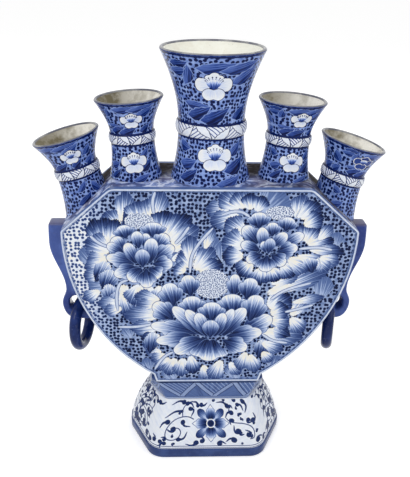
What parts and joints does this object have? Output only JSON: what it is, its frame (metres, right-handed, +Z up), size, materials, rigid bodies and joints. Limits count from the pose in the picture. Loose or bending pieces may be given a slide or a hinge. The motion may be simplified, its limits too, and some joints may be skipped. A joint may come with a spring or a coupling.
{
  "type": "finger vase",
  "caption": "Flat-sided porcelain flower vase on a flared foot, with a fan of flaring spouts and loose ring handles, painted in blue and white.",
  "frame": {"origin": "the middle of the foot ring's underside, on the surface the vase stands on", "axes": "+Z up, the painted front faces -Y, +X to the right as seen from the front"},
  "size_m": [0.2434, 0.0908, 0.3],
  "materials": {
    "painted_panel": "glazed porcelain, painted in cobalt blue",
    "painted_spout": "glazed porcelain, dotted blue ground with white blossoms",
    "dotted_ground": "glazed porcelain, navy dots on mid blue",
    "shoulder_glaze": "glazed porcelain, greyed blue with a brown tinge at the joints",
    "inner_glaze": "clear glaze on cream-white porcelain",
    "waist_band": "glazed porcelain, mid blue with hatched zig-zag",
    "painted_foot": "glazed white porcelain with blue scrolling vines",
    "cobalt_foot_ring": "solid cobalt blue under gloss glaze",
    "cobalt_handle": "solid cobalt blue under gloss glaze",
    "cobalt_ring": "solid dark cobalt blue under gloss glaze"
  },
  "bodies": {
    "vase": {"front_panel": "painted_panel", "back_panel": "painted_panel", "shoulder_slab_top": "shoulder_glaze", "shoulder_slab_left": "shoulder_glaze", "shoulder_slab_right": "shoulder_glaze", "side_slab_left": "dotted_ground", "side_slab_right": "dotted_ground", "floor_slab": "inner_glaze", "waist_collar": "waist_band", "pedestal_foot": "painted_foot", "foot_ring": "cobalt_foot_ring", "spout_centre": "painted_spout", "spout_inner_left": "painted_spout", "spout_inner_right": "painted_spout", "spout_outer_left": "painted_spout", "spout_outer_right": "painted_spout", "lug_handle_left": "cobalt_handle", "lug_handle_right": "cobalt_handle"},
    "ring_left": {"loose_ring_left": "cobalt_ring"},
    "ring_right": {"loose_ring_right": "cobalt_ring"}
  },
  "joints": [
    {"name": "ring_left_swing", "type": "hinge", "parent": "vase", "child": "ring_left", "pos_m": [-0.0948, 0, 0.11135], "axis": [0.2079, 0.9781, 0], "range_deg": [-35, 140]},
    {"name": "ring_right_swing", "type": "hinge", "parent": "vase", "child": "ring_right", "pos_m": [0.0948, 0, 0.11135], "axis": [-0.2588, -0.9659, 0], "range_deg": [-35, 140]}
  ]
}
